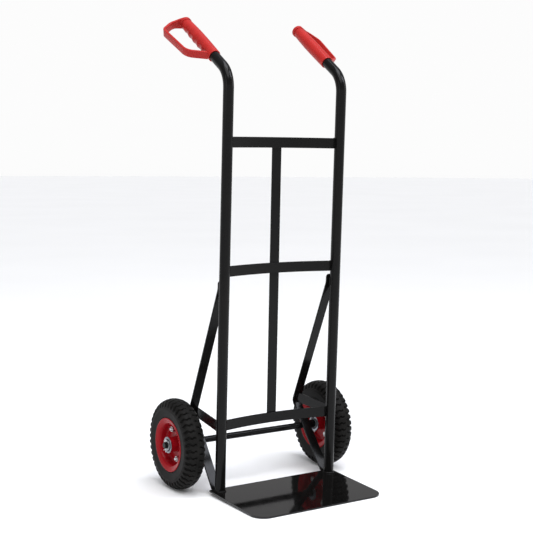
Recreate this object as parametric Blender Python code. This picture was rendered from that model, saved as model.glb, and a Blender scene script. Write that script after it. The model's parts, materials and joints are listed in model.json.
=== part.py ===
"""Two-wheeled hand truck: bent tube rails, flat toe plate, loop handles and pneumatic wheels.

Everything is drawn in the truck's own frame. The rails run up along Z, the load side faces -Y,
and z = 0 is the top of the toe plate. The whole truck hangs from one empty that tips it forward
until the tyres and the toe plate's front edge rest on the floor together.

A side is -1 for the left of the truck (x < 0) and +1 for the right.
"""

import math

import bmesh
import bpy
from mathutils import Matrix, Vector

MM = 0.001
GAP = 0.3 * MM
SIDES = {"left": -1, "right": 1}

# Rails
RAIL_X = 156.8 * MM
RAIL_R = 12.5 * MM
RAIL_WALL = 1.5 * MM
RAIL_BEND_Z = 974.4 * MM
RAIL_BEND_R = 60.0 * MM
HANDLE_RISE = 0.598
HANDLE_LEG = 76.2 * MM
HANDLE_SPLAY = 0.024
TUBE_IN_GRIP = 103.0 * MM
RAIL_SEGMENTS = 16

# Flat bars
BAR_HEIGHT = 25.0 * MM
BAR_THICK = 4.0 * MM
BAR_END_Y = 6.0 * MM
CROSS_BARS = {
    "upper_cross_bar": (819.0 * MM, 29.0 * MM),
    "middle_cross_bar": (521.0 * MM, 25.7 * MM),
    "lower_cross_bar": (154.7 * MM, 21.7 * MM),
}
STRIP_WIDTH = 25.0 * MM
STRIP_TOP_Z = 826.0 * MM
STRIP_BOTTOM_Z = 148.0 * MM

# Toe plate
PLATE_HALF_WIDTH = 176.4 * MM
PLATE_THICK = 4.0 * MM
PLATE_FRONT_Y = -203.6 * MM
PLATE_REAR_Y = 17.7 * MM
PLATE_CORNER_R = 34.0 * MM

# Axle and wheels
AXLE_Y = 113.9 * MM
AXLE_Z = 93.1 * MM
AXLE_R = 8.0 * MM
AXLE_HALF = 248.0 * MM
WHEEL_X = 213.0 * MM
TYRE_R = 109.5 * MM
TYRE_HALF_WIDTH = 26.2 * MM
RIM_LIP_R = 64.8 * MM
RIM_FACE = 25.0 * MM
RIM_STEEL = 2.0 * MM
BOLT_CIRCLE_R = 36.0 * MM
BOLT_R = 4.0 * MM
BOLT_PHASE = {"left": math.radians(21), "right": math.radians(45)}
HUB_R = 18.0 * MM
HUB_BORE_R = 16.0 * MM
HUB_HALF = 23.6 * MM
BEARING_BORE_R = 8.4 * MM
BEARING_FLANGE_R = 19.8 * MM
BEARING_DEPTH = 12.0 * MM
TYRE_SEGMENTS = 28
RIM_SEGMENTS = 24

# Rim bolts: shank, hexagon head on the inboard side, nut on the outboard side
HEXAGON_R = 7.5 * MM
BOLT_HEAD_HEIGHT = 5.3 * MM
BOLT_TIP_REACH = 9.5 * MM
BOLT_TIP_CHAMFER = 1.0 * MM
NUT_HEIGHT = 6.3 * MM
NUT_CLEARANCE = 0.3 * MM
BOLT_HOLE_R = 4.5 * MM

# Fittings on the axle
SPACER_R = 10.5 * MM
WASHER_R = 13.0 * MM
PIN_HOLE_R = 2.1 * MM

# Side braces: one flat bar per side, from the rail's back round to the toe plate's rear edge
BRACE_X = 153.4 * MM
BRACE_WIDTH = 24.0 * MM
BRACE_TOP_Z = 500.0 * MM
BRACE_TOP_R = 8.0 * MM
BRACE_BEND_R = 30.0 * MM
BRACE_BEND_Z = 479.5 * MM
BRACE_KNEE = (145.4 * MM, 152.2 * MM)
BRACE_KNEE_R = 14.0 * MM
BRACE_FOOT_Y = 15.0 * MM
LEG_SPLAY = 4.1 * MM
STAY_REAR = (151.0 * MM, 174.0 * MM)
STAY_FRONT = (162.5 * MM, 168.5 * MM)
STAY_THICK = 4.0 * MM
STAY_CORNER_RISE = 8.0 * MM
STAY_CORNER_RUN = 22.0 * MM

# Handles, along the rail's upper leg: distances run from the grip's front end
GRIP_MOUTH = -1.5 * MM
GRIP_LENGTH = 153.0 * MM
GRIP_BORE_R = RAIL_R + GAP
GRIP_R = 15.8 * MM
GRIP_SWELL = 0.5 * MM
GRIP_SWELL_AT = 78.0 * MM
GRIP_SWELL_REACH = 60.0 * MM
GRIP_TAPER = 0.025
GRIP_TAPER_FROM = 95.0 * MM
CAP_THICK = 8.0 * MM
CAP_R = 14.9 * MM
SCALLOP_PITCH = 24.0 * MM
SCALLOP_FIRST = 26.0 * MM
SCALLOP_COUNT = 5
SCALLOP_DEPTH = 2.0 * MM
GUARD_DROOP = math.radians(18)
GUARD_HALF_WIDTH = 9.6 * MM
GUARD_THICK = 5.4 * MM


# ---------------------------------------------------------------- scene helpers

def clear_scene():
    """Remove every object that the file starts with."""
    for item in list(bpy.data.objects):
        bpy.data.objects.remove(item, do_unlink=True)


def make_material(name, colour, metallic, roughness):
    """A plain Principled material."""
    material = bpy.data.materials.new(name)
    material.use_nodes = True
    shader = material.node_tree.nodes["Principled BSDF"]
    shader.inputs["Base Color"].default_value = (*colour, 1.0)
    shader.inputs["Metallic"].default_value = metallic
    shader.inputs["Roughness"].default_value = roughness
    material.diffuse_color = (*colour, 1.0)
    return material


def add_empty(name, parent=None, location=(0.0, 0.0, 0.0)):
    """An empty that carries other objects."""
    empty = bpy.data.objects.new(name, None)
    empty.parent = parent
    empty.location = location
    bpy.context.scene.collection.objects.link(empty)
    return empty


def add_object(name, shape, look, parent, crease=35.0):
    """Turn a bmesh into a named object with its own material and smooth round faces."""
    bmesh.ops.recalc_face_normals(shape, faces=shape.faces)
    mesh = bpy.data.meshes.new(name)
    shape.to_mesh(mesh)
    shape.free()
    mesh.shade_smooth()
    mesh.set_sharp_from_angle(angle=math.radians(crease))
    mesh.materials.append(make_material(name, *look))
    item = bpy.data.objects.new(name, mesh)
    item.parent = parent
    bpy.context.scene.collection.objects.link(item)
    return item


def add_guide(name, shape, parent):
    """A shape that only cuts or joins another one."""
    guide = add_object(name, shape, GUIDE_LOOK, parent)
    guide.hide_render = True
    guide.display_type = "WIRE"
    return guide


def combine(item, guide, operation):
    """Apply one exact boolean to an object."""
    modifier = item.modifiers.new(guide.name, "BOOLEAN")
    modifier.operation = operation
    modifier.solver = "EXACT"
    modifier.object = guide


# ---------------------------------------------------------------- shape helpers

def prism(outline, place, low, high):
    """Extrude a flat outline; place(u, v, w) gives the point at height w."""
    shape = bmesh.new()
    bottom = [shape.verts.new(place(u, v, low)) for u, v in outline]
    top = [shape.verts.new(place(u, v, high)) for u, v in outline]
    shape.faces.new(bottom)
    shape.faces.new(reversed(top))
    count = len(outline)
    for i in range(count):
        j = (i + 1) % count
        shape.faces.new((bottom[i], top[i], top[j], bottom[j]))
    return shape


def along_x(u, v, w):
    """Outline in the Y-Z plane, extruded along X."""
    return Vector((w, u, v))


def along_z(u, v, w):
    """Outline in the X-Y plane, extruded along Z."""
    return Vector((u, v, w))


def turn(profile, segments, side=1, radius_at=None, phase=0.0):
    """Turn a profile of (along, radius) points about X.

    A profile that starts and ends at radius 0 is a solid, and any other profile is a closed
    loop that makes a ring. radius_at(along, radius, angle) may reshape the surface.
    """
    shape = bmesh.new()
    rings = []
    for along, radius in profile:
        if radius == 0.0:
            rings.append([shape.verts.new((side * along, 0.0, 0.0))])
            continue
        ring = []
        for k in range(segments):
            angle = phase + math.tau * k / segments
            r = radius_at(along, radius, angle) if radius_at else radius
            ring.append(shape.verts.new((side * along, r * math.sin(angle), r * math.cos(angle))))
        rings.append(ring)
    closed = len(rings[0]) > 1
    last = len(rings) if closed else len(rings) - 1
    for i in range(last):
        join_rings(shape, rings[i], rings[(i + 1) % len(rings)])
    return shape


def join_rings(shape, first, second):
    """Skin two neighbouring rings; either one may be a single point."""
    count = max(len(first), len(second))
    for k in range(count):
        n = (k + 1) % count
        if len(first) == 1:
            shape.faces.new((first[0], second[k], second[n]))
        elif len(second) == 1:
            shape.faces.new((first[k], second[0], first[n]))
        else:
            shape.faces.new((first[k], second[k], second[n], first[n]))


def fillet_path(points, radii, steps):
    """Round the inner corners of a flat path; points and result are (u, v) pairs."""
    path = [Vector(points[0])]
    for i in range(1, len(points) - 1):
        corner = Vector(points[i])
        back = (Vector(points[i - 1]) - corner).normalized()
        ahead = (Vector(points[i + 1]) - corner).normalized()
        half = math.acos(max(-1.0, min(1.0, back.dot(ahead)))) / 2
        reach = radii[i - 1] / math.tan(half)
        centre = corner + (back + ahead).normalized() * radii[i - 1] / math.sin(half)
        start = corner + back * reach - centre
        swing = math.pi - 2 * half
        turn_sign = 1.0 if back.cross(ahead) < 0 else -1.0
        for k in range(steps + 1):
            angle = turn_sign * swing * k / steps
            path.append(centre + Matrix.Rotation(angle, 2) @ start)
    path.append(Vector(points[-1]))
    return path


def path_sides(path):
    """The unit left-hand normal at each point of a flat path."""
    normals = []
    for i, point in enumerate(path):
        before = path[max(i - 1, 0)]
        after = path[min(i + 1, len(path) - 1)]
        along = (after - before).normalized()
        normals.append(Vector((-along.y, along.x)))
    return normals


def offset_path(path, distance):
    """Move a flat path sideways by a distance."""
    return [p + n * distance for p, n in zip(path, path_sides(path))]


def pipe(path, radius, segments, place, bore=0.0):
    """A round wire or tube along a flat path; place(u, v, w) gives the space point."""
    shape = bmesh.new()
    sides = path_sides(path)

    def skin(r):
        rings = []
        for point, side in zip(path, sides):
            ring = []
            for k in range(segments):
                angle = math.tau * k / segments
                flat = point + side * r * math.cos(angle)
                ring.append(shape.verts.new(place(flat.x, flat.y, r * math.sin(angle))))
            rings.append(ring)
        for first, second in zip(rings, rings[1:]):
            join_rings(shape, first, second)
        return rings

    outer = skin(radius)
    if bore:
        inner = skin(bore)
        join_rings(shape, outer[0], inner[0])
        join_rings(shape, outer[-1], inner[-1])
    else:
        shape.faces.new(outer[0])
        shape.faces.new(outer[-1])
    return shape


def arc(radius, start, end, steps, centre=(0.0, 0.0)):
    """Points on a circle from one angle to another."""
    points = []
    for k in range(steps + 1):
        angle = start + (end - start) * k / steps
        points.append((centre[0] + radius * math.cos(angle), centre[1] + radius * math.sin(angle)))
    return points


# ---------------------------------------------------------------- looks

BLACK_PAINT = ((0.018, 0.018, 0.019), 0.0, 0.25)
PLATE_PAINT = ((0.020, 0.020, 0.021), 0.0, 0.15)
RED_PLASTIC = ((0.62, 0.035, 0.03), 0.0, 0.4)
RED_PAINT = ((0.55, 0.012, 0.02), 0.0, 0.25)
TYRE_RUBBER = ((0.02, 0.02, 0.02), 0.0, 0.7)
TUBE_RUBBER = ((0.03, 0.03, 0.03), 0.0, 0.8)
ZINC = ((0.62, 0.63, 0.64), 1.0, 0.35)
GUIDE_LOOK = ((0.5, 0.5, 0.5), 0.0, 0.5)


# ---------------------------------------------------------------- frame

def rail_path():
    """Centre line of a rail in the Y-Z plane."""
    slope = math.atan(HANDLE_RISE)
    run = HANDLE_LEG + TUBE_IN_GRIP
    top = (run * math.cos(slope), RAIL_BEND_Z + run * math.sin(slope))
    return fillet_path([(0.0, GAP), (0.0, RAIL_BEND_Z), top], [RAIL_BEND_R], 6)


def rail_centre_x(y):
    """The rails stand parallel, and their upper legs splay a little as they run back."""
    return RAIL_X + HANDLE_SPLAY * max(0.0, y - RAIL_R)


def build_rail(side, frame):
    """Round tube, straight up from the toe plate, then bent back towards the handle."""

    def place(u, v, w):
        return Vector((SIDES[side] * rail_centre_x(u) + w, u, v))

    shape = pipe(rail_path(), RAIL_R, RAIL_SEGMENTS, place, RAIL_R - RAIL_WALL)
    add_object("rail_" + side, shape, BLACK_PAINT, frame)


def rail_surface_x(y):
    """Where a rail's inboard surface lies at depth y, less room for the weld."""
    return RAIL_X - math.sqrt(RAIL_R ** 2 - y ** 2) - 2 * GAP


def bowed_line(end_x, end_y, centre_y, steps=16):
    """Circular arc in the X-Y plane from (-end_x, end_y) to (end_x, end_y)."""
    rise = centre_y - end_y
    radius = (end_x ** 2 + rise ** 2) / (2 * rise)
    half = math.asin(end_x / radius)
    middle = (0.0, centre_y - radius)
    return arc(radius, math.pi / 2 + half, math.pi / 2 - half, steps, middle)


def build_cross_bar(name, frame):
    """Flat bar bowed away from the load, with ends shaped to meet the rails."""
    z, depth = CROSS_BARS[name]
    rear_y = BAR_END_Y + BAR_THICK
    front = bowed_line(rail_surface_x(BAR_END_Y), BAR_END_Y, depth)
    rear = bowed_line(rail_surface_x(rear_y), rear_y, depth + BAR_THICK)
    low = z - BAR_HEIGHT / 2
    shape = prism(front + rear[::-1], along_z, low, low + BAR_HEIGHT)
    add_object(name, shape, BLACK_PAINT, frame)


def build_centre_strip(frame):
    """Straight flat bar up the backs of the three cross bars."""
    top_z, top_y = CROSS_BARS["upper_cross_bar"]
    low_z, low_y = CROSS_BARS["lower_cross_bar"]
    slope = (top_y - low_y) / (top_z - low_z)
    sag = STRIP_WIDTH ** 2 / (8 * RAIL_X)

    def front(z):
        return low_y + BAR_THICK + GAP + sag + slope * (z - low_z)

    outline = [(front(STRIP_BOTTOM_Z), STRIP_BOTTOM_Z), (front(STRIP_TOP_Z), STRIP_TOP_Z)]
    outline += [(y + BAR_THICK, z) for y, z in outline[::-1]]
    shape = prism(outline, along_x, -STRIP_WIDTH / 2, STRIP_WIDTH / 2)
    add_object("centre_strip", shape, BLACK_PAINT, frame)


def build_toe_plate(frame):
    """Flat plate with large round front corners and square rear corners."""
    w, r = PLATE_HALF_WIDTH, PLATE_CORNER_R
    outline = [(w, PLATE_REAR_Y), (-w, PLATE_REAR_Y)]
    outline += arc(r, math.pi, 1.5 * math.pi, 10, (r - w, PLATE_FRONT_Y + r))
    outline += arc(r, 1.5 * math.pi, math.tau, 10, (w - r, PLATE_FRONT_Y + r))
    shape = prism(outline, along_z, -PLATE_THICK, 0.0)
    add_object("toe_plate", shape, PLATE_PAINT, frame)


def brace_front():
    """Front face of a side brace in the Y-Z plane, from the top end down to the foot."""
    lie_y = RAIL_R + GAP
    points = [(lie_y, BRACE_TOP_Z), (lie_y, BRACE_BEND_Z), BRACE_KNEE, (BRACE_FOOT_Y, 0.0)]
    return fillet_path(points, [BRACE_BEND_R, BRACE_KNEE_R], 8)


def brace_front_y(z):
    """Depth of the brace's front face at height z, below the knee's middle."""
    path = brace_front()
    for above, below in zip(path, path[1:]):
        if below.y <= z <= above.y:
            part = (z - below.y) / (above.y - below.y)
            return below.x + (above.x - below.x) * part
    raise ValueError("height is off the brace")


def cut_level(path, z):
    """End a downward path at height z."""
    before, after = path[-2], path[-1]
    part = (before.y - z) / (before.y - after.y)
    return path[:-1] + [before.lerp(after, part)]


def brace_centre_x(z):
    """The bar stands upright above the knee, and its leg splays a little towards the foot."""
    return BRACE_X + LEG_SPLAY * max(0.0, 1.0 - z / BRACE_KNEE[1])


def build_side_brace(side, frame):
    """Flat bar bent at the knee: brace above, axle leg below."""
    front = cut_level(brace_front(), GAP)
    rear = cut_level(offset_path(brace_front(), BAR_THICK), GAP)
    half = BRACE_WIDTH / 2
    shape = bmesh.new()
    rings = []
    for near, far in zip(front, rear):
        corners = [(near, -half), (near, half), (far, half), (far, -half)]
        rings.append([shape.verts.new((SIDES[side] * brace_centre_x(p.y) + w, p.x, p.y))
                      for p, w in corners])
    for first, second in zip(rings, rings[1:]):
        join_rings(shape, first, second)
    shape.faces.new(rings[0])
    shape.faces.new(rings[-1])
    round_top_corners(shape, BRACE_TOP_R)
    add_object("side_brace_" + side, shape, BLACK_PAINT, frame)


def round_top_corners(shape, radius):
    """Round the two corners of a brace's top end."""
    top = [e for e in shape.edges
           if all(abs(v.co.z - BRACE_TOP_Z) < GAP for v in e.verts)
           and abs(e.verts[0].co.y - e.verts[1].co.y) > BAR_THICK / 2]
    bmesh.ops.bevel(shape, geom=top, offset=radius, segments=4, profile=0.5, affect="EDGES")


def build_axle_stay(side, frame):
    """Upright plate from the rail's back to the inside of the brace's knee."""
    rear_x, rear_z = STAY_REAR
    front_x, front_z = STAY_FRONT
    offset = front_x - STAY_THICK / 2 - RAIL_X
    front_y = math.sqrt(RAIL_R ** 2 - offset ** 2) + GAP
    run = BRACE_KNEE[0] - front_y
    low_z = rear_z - BAR_HEIGHT + STAY_CORNER_RISE
    steps = 4
    rear = []
    for k in range(steps + 1):
        z = low_z + (rear_z - low_z) * k / steps
        rear.append((brace_front_y(z) - 0.8 * MM, z))
    corner = (rear[0][0] - STAY_CORNER_RUN, rear_z - BAR_HEIGHT)
    outline = [(front_y, front_z), (front_y, front_z - BAR_HEIGHT), corner] + rear

    def place(u, v, w):
        x = front_x + (rear_x - front_x) * (u - front_y) / run
        return Vector((SIDES[side] * x + w, u, v))

    shape = prism(outline, place, -STAY_THICK / 2, STAY_THICK / 2)
    add_object("axle_stay_" + side, shape, BLACK_PAINT, frame)


def leg_direction():
    """Unit vector up the lower leg of a brace, in the Y-Z plane."""
    return (Vector(BRACE_KNEE) - Vector((BRACE_FOOT_Y, 0.0))).normalized()


def build_axle_saddle(side, frame):
    """Cradle that fills the space between the leg's rear face and the axle."""
    up = leg_direction()
    back = Vector((up.y, -up.x))
    foot = Vector((BRACE_FOOT_Y, 0.0))
    axle = Vector((AXLE_Y, AXLE_Z))
    depth = (axle - foot).dot(back)
    rise = (axle - foot).dot(up)
    base = BAR_THICK + GAP
    half = 9.0 * MM
    reach = 0.75
    seat = AXLE_R + GAP
    outline = [foot + up * (rise - half) + back * base, foot + up * (rise + half) + back * base]
    for k in range(7):
        angle = reach * (1 - k / 3)
        along = rise + seat * math.sin(angle)
        outline.append(foot + up * along + back * (depth - seat * math.cos(angle)))
    centre = SIDES[side] * brace_centre_x(AXLE_Z)
    width = BRACE_WIDTH / 2 - 1.0 * MM
    shape = prism([tuple(p) for p in outline], along_x, centre - width, centre + width)
    add_object("axle_saddle_" + side, shape, BLACK_PAINT, frame)


def build_axle(frame):
    """Round bar with a split-pin hole near each end."""
    chamfer = 1.2 * MM
    end = AXLE_HALF
    profile = [(-end, 0.0), (-end, AXLE_R - chamfer), (chamfer - end, AXLE_R)]
    profile += [(-PIN_X, AXLE_R), (PIN_X, AXLE_R)]
    profile += [(end - chamfer, AXLE_R), (end, AXLE_R - chamfer), (end, 0.0)]
    place = Matrix.Translation((0.0, AXLE_Y, AXLE_Z))
    shape = turn(profile, 18)
    bmesh.ops.transform(shape, matrix=place, verts=shape.verts)
    axle = add_object("axle", shape, BLACK_PAINT, frame)
    for side, sign in SIDES.items():
        hole = bore_cutter(PIN_HOLE_R, 1.5 * AXLE_R, Vector((sign * PIN_X, AXLE_Y, AXLE_Z)))
        combine(axle, add_guide("pin_hole_" + side, hole, frame), "DIFFERENCE")


def bore_cutter(radius, reach, centre):
    """An upright cylinder about a point."""
    shape = turn([(-reach, 0.0), (-reach, radius), (reach, radius), (reach, 0.0)], 10)
    spin = Matrix.Translation(centre) @ Matrix.Rotation(math.pi / 2, 4, "Y")
    bmesh.ops.transform(shape, matrix=spin, verts=shape.verts)
    return shape


# ---------------------------------------------------------------- axle fittings

BEARING_FLANGE = 1.8 * MM
WHEEL_OUTER_X = WHEEL_X + HUB_HALF + GAP + BEARING_FLANGE
WHEEL_INNER_X = WHEEL_X - HUB_HALF - GAP - BEARING_FLANGE
WASHER_THICK = 2.0 * MM
PIN_X = WHEEL_OUTER_X + 5.2 * MM
PIN_WIRE_R = 0.8 * MM


def build_sleeve(name, side, near, far, radius, look, frame):
    """A plain ring on the axle between two distances from the truck's middle."""
    bore = AXLE_R + GAP
    profile = [(near, bore), (near, radius), (far, radius), (far, bore)]
    shape = turn(profile, 16, SIDES[side])
    bmesh.ops.translate(shape, verts=shape.verts, vec=(0.0, AXLE_Y, AXLE_Z))
    add_object(name + "_" + side, shape, look, frame)


def pin_path():
    """Doubled wire of a split pin in the Y-Z plane: leg, eye, leg."""
    strand = PIN_WIRE_R + 0.15 * MM
    eye_r = 3.0 * MM
    eye_z = AXLE_R + 4.2 * MM
    gape = math.asin(strand / eye_r)
    leg = [(9.0 * MM, -AXLE_R - 5.5 * MM), (4.0 * MM, -AXLE_R - 4.2 * MM), (strand, -AXLE_R - 0.8 * MM)]
    right = [Vector(p) for p in leg]
    eye = arc(eye_r, gape - math.pi / 2, 1.5 * math.pi - gape, 12, (0.0, eye_z))
    left = [Vector((-strand, -AXLE_R - 0.8 * MM)), Vector((-2.2 * MM, -AXLE_R - 8.5 * MM))]
    return right + [Vector(p) for p in eye] + left


def build_split_pin(side, frame):
    """Split pin through the axle, with its legs bent apart below."""
    x = SIDES[side] * PIN_X

    def place(u, v, w):
        return Vector((x + w, AXLE_Y + u, AXLE_Z + v))

    shape = pipe(pin_path(), PIN_WIRE_R, 6, place)
    add_object("split_pin_" + side, shape, ZINC, frame)


# ---------------------------------------------------------------- handles

def grip_surface(along):
    """Radius of the grip, fullest in the palm and tapering towards the cap."""
    swell = GRIP_SWELL * ((along - GRIP_SWELL_AT) / GRIP_SWELL_REACH) ** 2
    return GRIP_R - swell - GRIP_TAPER * max(0.0, along - GRIP_TAPER_FROM)


def grip_profile():
    """Outline of the grip and its end cap, from the bottom of the bore round to the cap."""
    depth = TUBE_IN_GRIP + 2 * MM
    ease = 1 * MM
    profile = [(depth, 0.0), (depth, GRIP_BORE_R), (GRIP_MOUTH, GRIP_BORE_R)]
    profile += [(GRIP_MOUTH, GRIP_BORE_R + ease), (GRIP_MOUTH + ease, grip_surface(0.0))]
    step = SCALLOP_PITCH / 4
    start = SCALLOP_FIRST - 2 * step
    for k in range(4 * SCALLOP_COUNT + 1):
        profile.append((start + k * step, grip_surface(start + k * step)))
    profile += [(GRIP_LENGTH - 6 * MM, grip_surface(GRIP_LENGTH)), (GRIP_LENGTH, CAP_R - 2 * ease)]
    profile += [(GRIP_LENGTH, CAP_R - ease / 2), (GRIP_LENGTH + ease, CAP_R)]
    profile += [(GRIP_LENGTH + CAP_THICK, CAP_R - ease / 2), (GRIP_LENGTH + CAP_THICK, 0.0)]
    return profile


def grip_radius(along, radius, angle):
    """Finger scallops on the outboard side of the grip (towards local +Y)."""
    first = SCALLOP_FIRST - SCALLOP_PITCH / 2
    last = first + SCALLOP_PITCH * SCALLOP_COUNT
    if radius < GRIP_BORE_R + 1 * MM or not first < along < last:
        return radius
    facing = max(0.0, math.sin(angle)) ** 2
    wave = 0.5 - 0.5 * math.cos(math.tau * (along - first) / SCALLOP_PITCH)
    return radius - SCALLOP_DEPTH * facing * wave


def guard_outline():
    """Outline of the knuckle guard: first value out from the grip, second along it."""
    edge = [(13.4, 6.3), (55.4, 36.4), (65.3, 144.7), (34.0, 166.0), (-14.0, 162.3)]
    path = fillet_path([(u * MM, v * MM) for u, v in edge], [38.0 * MM, 13.0 * MM, 33.0 * MM], 5)
    inner = offset_path(path, GUARD_THICK)
    run = inner[1] - inner[0]
    inner[0] += run * (path[0].x - inner[0].x) / run.x
    return [tuple(p) for p in path] + [tuple(p) for p in reversed(inner)]


def handle_matrix(side):
    """Local X along the grip, local Y out along the drooping guard, local Z square to its loop."""
    slope = math.atan(HANDLE_RISE)
    sideways = Vector((SIDES[side], 0.0, 0.0))
    along = Vector((0.0, math.cos(slope), math.sin(slope)))
    start = along * HANDLE_LEG + Vector((0.0, 0.0, RAIL_BEND_Z))
    start += sideways * rail_centre_x(start.y)
    along = (along + sideways * HANDLE_SPLAY * along.y).normalized()
    below = (along.cross(sideways) * SIDES[side]).normalized()
    level = (below.cross(along) * SIDES[side]).normalized()
    out = level * math.cos(GUARD_DROOP) + below * math.sin(GUARD_DROOP)
    matrix = Matrix((along, out, along.cross(out))).transposed().to_4x4()
    matrix.translation = start
    return matrix


def build_handle(side, frame):
    """Moulded grip over the tube's end, in one piece with its knuckle guard."""
    matrix = handle_matrix(side)
    grip = turn(grip_profile(), 18, radius_at=grip_radius, phase=math.pi / 18)
    bmesh.ops.transform(grip, matrix=matrix, verts=grip.verts)
    handle = add_object("handle_" + side, grip, RED_PLASTIC, frame)

    def place(u, v, w):
        return Vector((v, u, w))

    loop = prism(guard_outline(), place, -GUARD_HALF_WIDTH, GUARD_HALF_WIDTH)
    bmesh.ops.transform(loop, matrix=matrix, verts=loop.verts)
    combine(handle, add_guide("guard_" + side, loop, frame), "UNION")


# ---------------------------------------------------------------- wheels

def tyre_profile():
    """Section of the tyre: outside from bead to bead, then back round the inside."""
    outside = [(14.0, 52.4), (17.2, 52.6), (19.3, 55.3), (22.0, 64.0), (24.8, 68.6)]
    outside += [(TYRE_HALF_WIDTH / MM, 84.0), (24.9, 94.5), (20.5, 102.6), (12.0, 107.3)]
    inside = [(10.0, 101.5), (18.0, 96.5), (21.6, 84.0), (20.0, 71.0), (15.5, 60.0)]
    half = [(a * MM, r * MM) for a, r in outside] + [(0.0, TYRE_R)]
    core = [(a * MM, r * MM) for a, r in inside]
    loop = half + [(-a, r) for a, r in half[-2::-1]]
    return loop + [(-a, r) for a, r in core[::-1]] + [(0.0, 103.0 * MM)] + core


def inner_tube_profile():
    """Thin section inside the tyre, open along the rim side."""
    centre_r = 80.0 * MM
    outer = 18.0 * MM
    skin = 1.6 * MM
    gape = math.radians(16)

    def loop(radius):
        return arc(radius, gape - math.pi / 2, 1.5 * math.pi - gape, 7, (0.0, centre_r))

    return loop(outer) + loop(outer - skin)[::-1]


def rim_profile(hub_hole):
    """Section of one rim half, outboard face first, then back along the tyre side."""
    half = GAP / 2
    front = [(half + RIM_STEEL, hub_hole), (half + RIM_STEEL, 44.8 * MM), (4.5 * MM, 46.9 * MM)]
    front += [(17.0 * MM, 49.4 * MM), (20.6 * MM, 51.4 * MM), (22.4 * MM, 54.8 * MM)]
    front += [(RIM_FACE, 62.4 * MM), (RIM_FACE - 0.6 * MM, RIM_LIP_R)]
    back = [(22.8 * MM, RIM_LIP_R - 0.6 * MM), (20.4 * MM, 55.6 * MM), (18.9 * MM, 53.2 * MM)]
    back += [(16.6 * MM, 51.5 * MM), (3.0 * MM, 48.7 * MM), (half, 45.8 * MM), (half, hub_hole)]
    return front + back


def build_rim(name, facing, side, wheel):
    """One pressed rim half; facing is +1 for the outboard half."""
    shape = turn(rim_profile(HUB_R + GAP), RIM_SEGMENTS, SIDES[side] * facing)
    rim = add_object(name + "_" + side, shape, RED_PAINT, wheel)
    for k in range(4):
        reach = 3 * RIM_STEEL
        profile = [(-reach, 0.0), (-reach, BOLT_HOLE_R), (reach, BOLT_HOLE_R), (reach, 0.0)]
        shank = turn_at_bolt(k, side, profile, 8)
        guide = add_guide("%s_hole_%s_%d" % (name, side, k + 1), shank, wheel)
        combine(rim, guide, "DIFFERENCE")
    return rim


def turn_at_bolt(index, side, profile, segments):
    """Turn a profile about a bolt's own axis."""
    angle = BOLT_PHASE[side] + math.pi / 2 * index
    shape = turn(profile, segments, SIDES[side])
    centre = (0.0, BOLT_CIRCLE_R * math.sin(angle), BOLT_CIRCLE_R * math.cos(angle))
    bmesh.ops.translate(shape, verts=shape.verts, vec=centre)
    return shape


def build_bolts(side, wheel):
    """Hexagon bolts from inside, nuts outside, each its own piece."""
    seat = GAP / 2 + RIM_STEEL + GAP
    head = seat + BOLT_HEAD_HEIGHT
    tip = seat + BOLT_TIP_REACH
    shank_profile = [(-seat, 0.0), (-seat, BOLT_R), (tip - BOLT_TIP_CHAMFER, BOLT_R)]
    shank_profile += [(tip, BOLT_R - BOLT_TIP_CHAMFER), (tip, 0.0)]
    head_profile = [(-head, 0.0), (-head, HEXAGON_R), (-seat, HEXAGON_R), (-seat, 0.0)]
    bore = (BOLT_R + NUT_CLEARANCE) / math.cos(math.pi / 6)
    nut_end = seat + NUT_HEIGHT
    nut_profile = [(seat, bore), (seat, HEXAGON_R), (nut_end, HEXAGON_R), (nut_end, bore)]
    for k in range(4):
        label = "%s_%d" % (side, k + 1)
        shank = turn_at_bolt(k, side, shank_profile, 8)
        bolt = add_object("rim_bolt_" + label, shank, ZINC, wheel)
        hexagon = turn_at_bolt(k, side, head_profile, 6)
        combine(bolt, add_guide("bolt_head_" + label, hexagon, wheel), "UNION")
        add_object("rim_nut_" + label, turn_at_bolt(k, side, nut_profile, 6), ZINC, wheel)


def build_hub(side, wheel):
    """Tube that carries a bearing in each end."""
    profile = [(-HUB_HALF, HUB_BORE_R), (-HUB_HALF, HUB_R), (HUB_HALF, HUB_R), (HUB_HALF, HUB_BORE_R)]
    add_object("hub_" + side, turn(profile, 20), RED_PAINT, wheel)


def build_bearing(name, facing, side, wheel):
    """Flanged bearing, flange on the end of the hub."""
    body = HUB_BORE_R - GAP
    seat = HUB_HALF + GAP
    foot = seat - BEARING_DEPTH
    profile = [(foot, BEARING_BORE_R), (foot, body), (seat, body)]
    profile += [(seat, BEARING_FLANGE_R), (seat + BEARING_FLANGE, BEARING_FLANGE_R)]
    profile += [(seat + BEARING_FLANGE, BEARING_BORE_R)]
    add_object(name + "_" + side, turn(profile, 18, SIDES[side] * facing), ZINC, wheel)


def build_wheel(side, truck):
    """A wheel about its own empty on the axle."""
    centre = (SIDES[side] * WHEEL_X, AXLE_Y, AXLE_Z)
    wheel = add_empty("wheel_axis_" + side, truck, centre)
    add_object("tyre_" + side, turn(tyre_profile(), TYRE_SEGMENTS), TYRE_RUBBER, wheel, 50.0)
    add_object("inner_tube_" + side, turn(inner_tube_profile(), 18), TUBE_RUBBER, wheel, 50.0)
    build_rim("rim_outer", 1, side, wheel)
    build_rim("rim_inner", -1, side, wheel)
    build_hub(side, wheel)
    build_bearing("bearing_outer", 1, side, wheel)
    build_bearing("bearing_inner", -1, side, wheel)
    build_bolts(side, wheel)


# ---------------------------------------------------------------- whole truck

def lean_angle():
    """Forward lean that puts the tyres and the toe plate's front edge on one floor."""
    run = AXLE_Y - PLATE_FRONT_Y
    rise = AXLE_Z + PLATE_THICK
    return math.asin(TYRE_R / math.hypot(run, rise)) - math.atan2(rise, run)


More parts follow.
